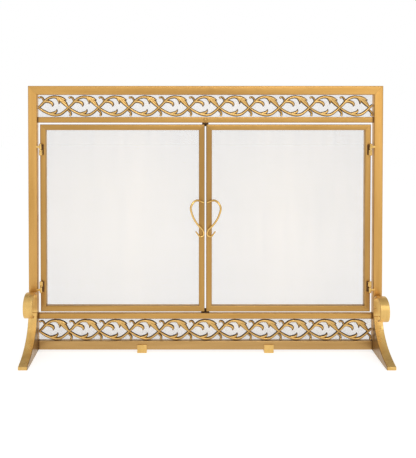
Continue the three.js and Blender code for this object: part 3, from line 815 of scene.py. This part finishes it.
def dome_screw(node, slot, front, material=None):
    """A round-headed screw, its head in front of or behind the frame, on the CAD screw's axis."""
    low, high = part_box(node)
    centre_x, centre_z = (low.x + high.x) / 2, (low.z + high.z) / 2
    seat = low.y + SCREW_CROWN if front else high.y - SCREW_CROWN
    far = high.y if front else low.y
    sign = -1 if front else 1
    head = dome((high.x - low.x) / 2, SCREW_CROWN, 7)
    stations = [(SCREW_TIP, far), (SCREW_SHANK, far), (SCREW_SHANK, seat)]
    stations += [(radius, seat + sign * height) for radius, height in head]
    stations.append((SCREW_TIP, seat + sign * SCREW_CROWN))
    verts = []
    for radius, y in stations:
        for k in range(SCREW_SIDES):
            angle = 2 * math.pi * k / SCREW_SIDES
            verts.append((centre_x + radius * math.cos(angle), y, centre_z + radius * math.sin(angle)))
    mesh = mesh_from(node + "_head", verts, skin(len(stations), SCREW_SIDES), 50)
    add_piece(node + "_head", mesh, "frame", slot, node, material)


def catch(node, rail, above):
    """A pressed plate with a lip that fills the gap between the rail and the doors."""
    low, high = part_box(node)
    plate_y = high.y - PLATE_THICK
    rail_low, rail_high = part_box(rail)
    edge = rail_low.z - FIT if above else rail_high.z + FIT
    far = edge - LIP_HEIGHT if above else edge + LIP_HEIGHT
    plate = block((low.x, plate_y, low.z), (high.x, high.y, high.z), PLATE_EDGE)
    lip = corner_block((low.x, low.y, edge), (high.x, plate_y + LIP_OVERLAP, far), LIP_EDGE)
    name = node + "_plate"
    add_piece(name, mesh_from(name, *together(plate, lip)), "frame", DARK, node)


def clamp_strip(node, body):
    """A flat strip that holds the wire cloth on a door, with eased edges."""
    name = node + "_soft"
    add_piece(name, mesh_from(name, *block(*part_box(node), STRIP_EDGE)), body, GOLD, node)


def rail_foot(node):
    """A channel that holds the bottom rail, with its base on the floor."""
    low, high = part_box(node)
    rail_low, rail_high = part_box("bottom_rail")
    front, back, base = rail_low.y - FIT, rail_high.y + FIT, rail_low.z - FIT
    outline = [
        (low.y, low.z), (high.y, low.z), (high.y, high.z), (back, high.z),
        (back, base), (front, base), (front, high.z), (low.y, high.z),
    ]
    side_profile(node + "_channel", outline, node, "frame", GOLD, RAIL_FOOT_EDGE)


def finish_cad_node(node, slot):
    """A CAD node whose shape is right keeps it and takes the finish of its slot."""
    materials = frame["nodes"][node].data.materials
    materials.clear()
    materials.append(FINISHES[slot])


build_frame_tubes()
build_hinges()
for band, wire_radius in (("upper", WIRE_RADIUS), ("lower", LOWER_BAND_WIRE_RADIUS)):
    vine_panel(band)
    wire_cloth(band + "_band_wires", band + "_band_mesh", "frame", wire_radius)
for side_name, side in SIDES:
    door = side_name + "_door"
    build_door_tubes(side_name, side)
    wire_cloth(door + "_wires", door + "_mesh", door)
    build_handle(door, side)
    build_front_foot(side_name)
    build_rear_foot(side_name)
    rail_foot(side_name + "_rail_foot")
    finish_cad_node(side_name + "_stile_plug", PLASTIC)
    for place in ("top", "bottom", "hinge", "lock"):
        clamp_strip(door + "_" + place + "_mesh_clamp", door)
catch("upper_catch", "upper_middle_rail", above=True)
catch("lower_catch", "lower_middle_rail", above=False)
dome_screw("upper_catch_screw", HARDWARE, front=True, material=DOOR_LEVEL)
dome_screw("lower_catch_screw", DARK, front=False)


# Studio

CAMERA_X = -75 * MM
CAMERA_Z = 760 * MM
CAMERA_AHEAD = 2.15  # of the frame's front face
CAMERA_PITCH = 1.2  # degrees below level
CAMERA_SHIFT = (0.0573, -0.2219)
SENSOR = 36  # millimetres high
FOCAL_LENGTH = 1.492576 * SENSOR
FLOOR_SIZE = 28
FLOOR_TONES = (0.48, 0.48, 0.48), (0.5, 0.5, 0.5)
FLOOR_GLOW = 0.71
LIGHT_AIM = (0, 0, 0.42)  # the middle of the screen
# Soft boxes: name, place, width and height, radiance
LIGHTS = (
    ("key", (0.4, -2.5, 2.3), (1.6, 0.9), 5.3),
    ("overhead", (0, -0.2, 2.6), (2.4, 1.8), 0.5),
    ("right_box", (1.45, -2.4, 1), (0.5, 0.9), 1.3),
)
# Brightness of what the metal reflects, from dead ahead of the screen, -1, round to behind it, 1.
SURROUNDINGS = ((-1, 1), (-0.6, 0.8), (-0.2, 0.42), (0.68, 0.42), (0.92, 1))


def add_camera():
    camera = bpy.data.cameras.new("camera")
    camera.sensor_width = SENSOR
    camera.lens = FOCAL_LENGTH
    camera.shift_x, camera.shift_y = CAMERA_SHIFT
    holder = bpy.data.objects.new("camera", camera)
    holder.location = (CAMERA_X, FRONT_Y - CAMERA_AHEAD, CAMERA_Z)
    holder.rotation_euler = (math.radians(90 - CAMERA_PITCH), 0, 0)
    bpy.context.scene.collection.objects.link(holder)
    bpy.context.scene.camera = holder


def add_floor():
    """A white floor that glows, so that only soft traces of shadow show on it."""
    n = Nodes("white_floor")
    dark, light = FLOOR_TONES
    tone = n.ramp(n.noise(2, 2), ((NOISE_LOW, dark), (NOISE_HIGH, light)))
    n.link(tone, n.shader.inputs["Base Color"])
    n.shader.inputs["Roughness"].default_value = 0.9
    n.shader.inputs["Specular IOR Level"].default_value = 0.1
    n.shader.inputs["Emission Color"].default_value = (*WHITE, 1)
    n.shader.inputs["Emission Strength"].default_value = FLOOR_GLOW
    far = FLOOR_SIZE / 2
    verts = [(-far, -far, 0), (far, -far, 0), (far, far, 0), (-far, far, 0)]
    mesh = mesh_from("floor", verts, [(0, 1, 2, 3)])
    mesh.materials.append(n.material)
    floor = bpy.data.objects.new("floor", mesh)
    bpy.context.scene.collection.objects.link(floor)


def add_light(name, place, size, radiance):
    """A soft box aimed at the screen, with its brightness per square metre and unit solid angle."""
    light = bpy.data.lights.new(name, "AREA")
    light.energy = radiance * math.pi * size[0] * size[1]
    light.shape = "RECTANGLE"
    light.size, light.size_y = size
    holder = bpy.data.objects.new(name, light)
    holder.location = place
    holder.rotation_euler = (Vector(LIGHT_AIM) - Vector(place)).to_track_quat("-Z", "Y").to_euler()
    holder.visible_camera = False
    bpy.context.scene.collection.objects.link(holder)


def add_world():
    """Light ahead of the screen and behind it, with darker sides between for the metal to reflect, and
    a plain white backdrop."""
    world = bpy.data.worlds.new("studio")
    world.use_nodes = True
    tree = world.node_tree
    place = tree.nodes.new("ShaderNodeTexCoord")
    split = tree.nodes.new("ShaderNodeSeparateXYZ")
    ramp = tree.nodes.new("ShaderNodeValToRGB")
    half = tree.nodes.new("ShaderNodeMapRange")
    half.inputs["From Min"].default_value = -1
    fill_ramp(ramp, [((direction + 1) / 2, (level,) * 3) for direction, level in SURROUNDINGS])
    tree.links.new(place.outputs["Generated"], split.inputs["Vector"])
    tree.links.new(split.outputs["Y"], half.inputs["Value"])
    tree.links.new(half.outputs["Result"], ramp.inputs["Fac"])
    tree.links.new(ramp.outputs["Color"], tree.nodes["Background"].inputs["Color"])
    backdrop = tree.nodes.new("ShaderNodeBackground")
    backdrop.inputs["Color"].default_value = (*WHITE, 1)
    seen = tree.nodes.new("ShaderNodeLightPath")
    choice = tree.nodes.new("ShaderNodeMixShader")
    tree.links.new(seen.outputs["Is Camera Ray"], choice.inputs["Fac"])
    tree.links.new(tree.nodes["Background"].outputs["Background"], choice.inputs[1])
    tree.links.new(backdrop.outputs["Background"], choice.inputs[2])
    tree.links.new(choice.outputs["Shader"], tree.nodes["World Output"].inputs["Surface"])
    bpy.context.scene.world = world


add_camera()
add_floor()
add_world()
for light in LIGHTS:
    add_light(*light)
bpy.context.scene.view_settings.view_transform = "Standard"
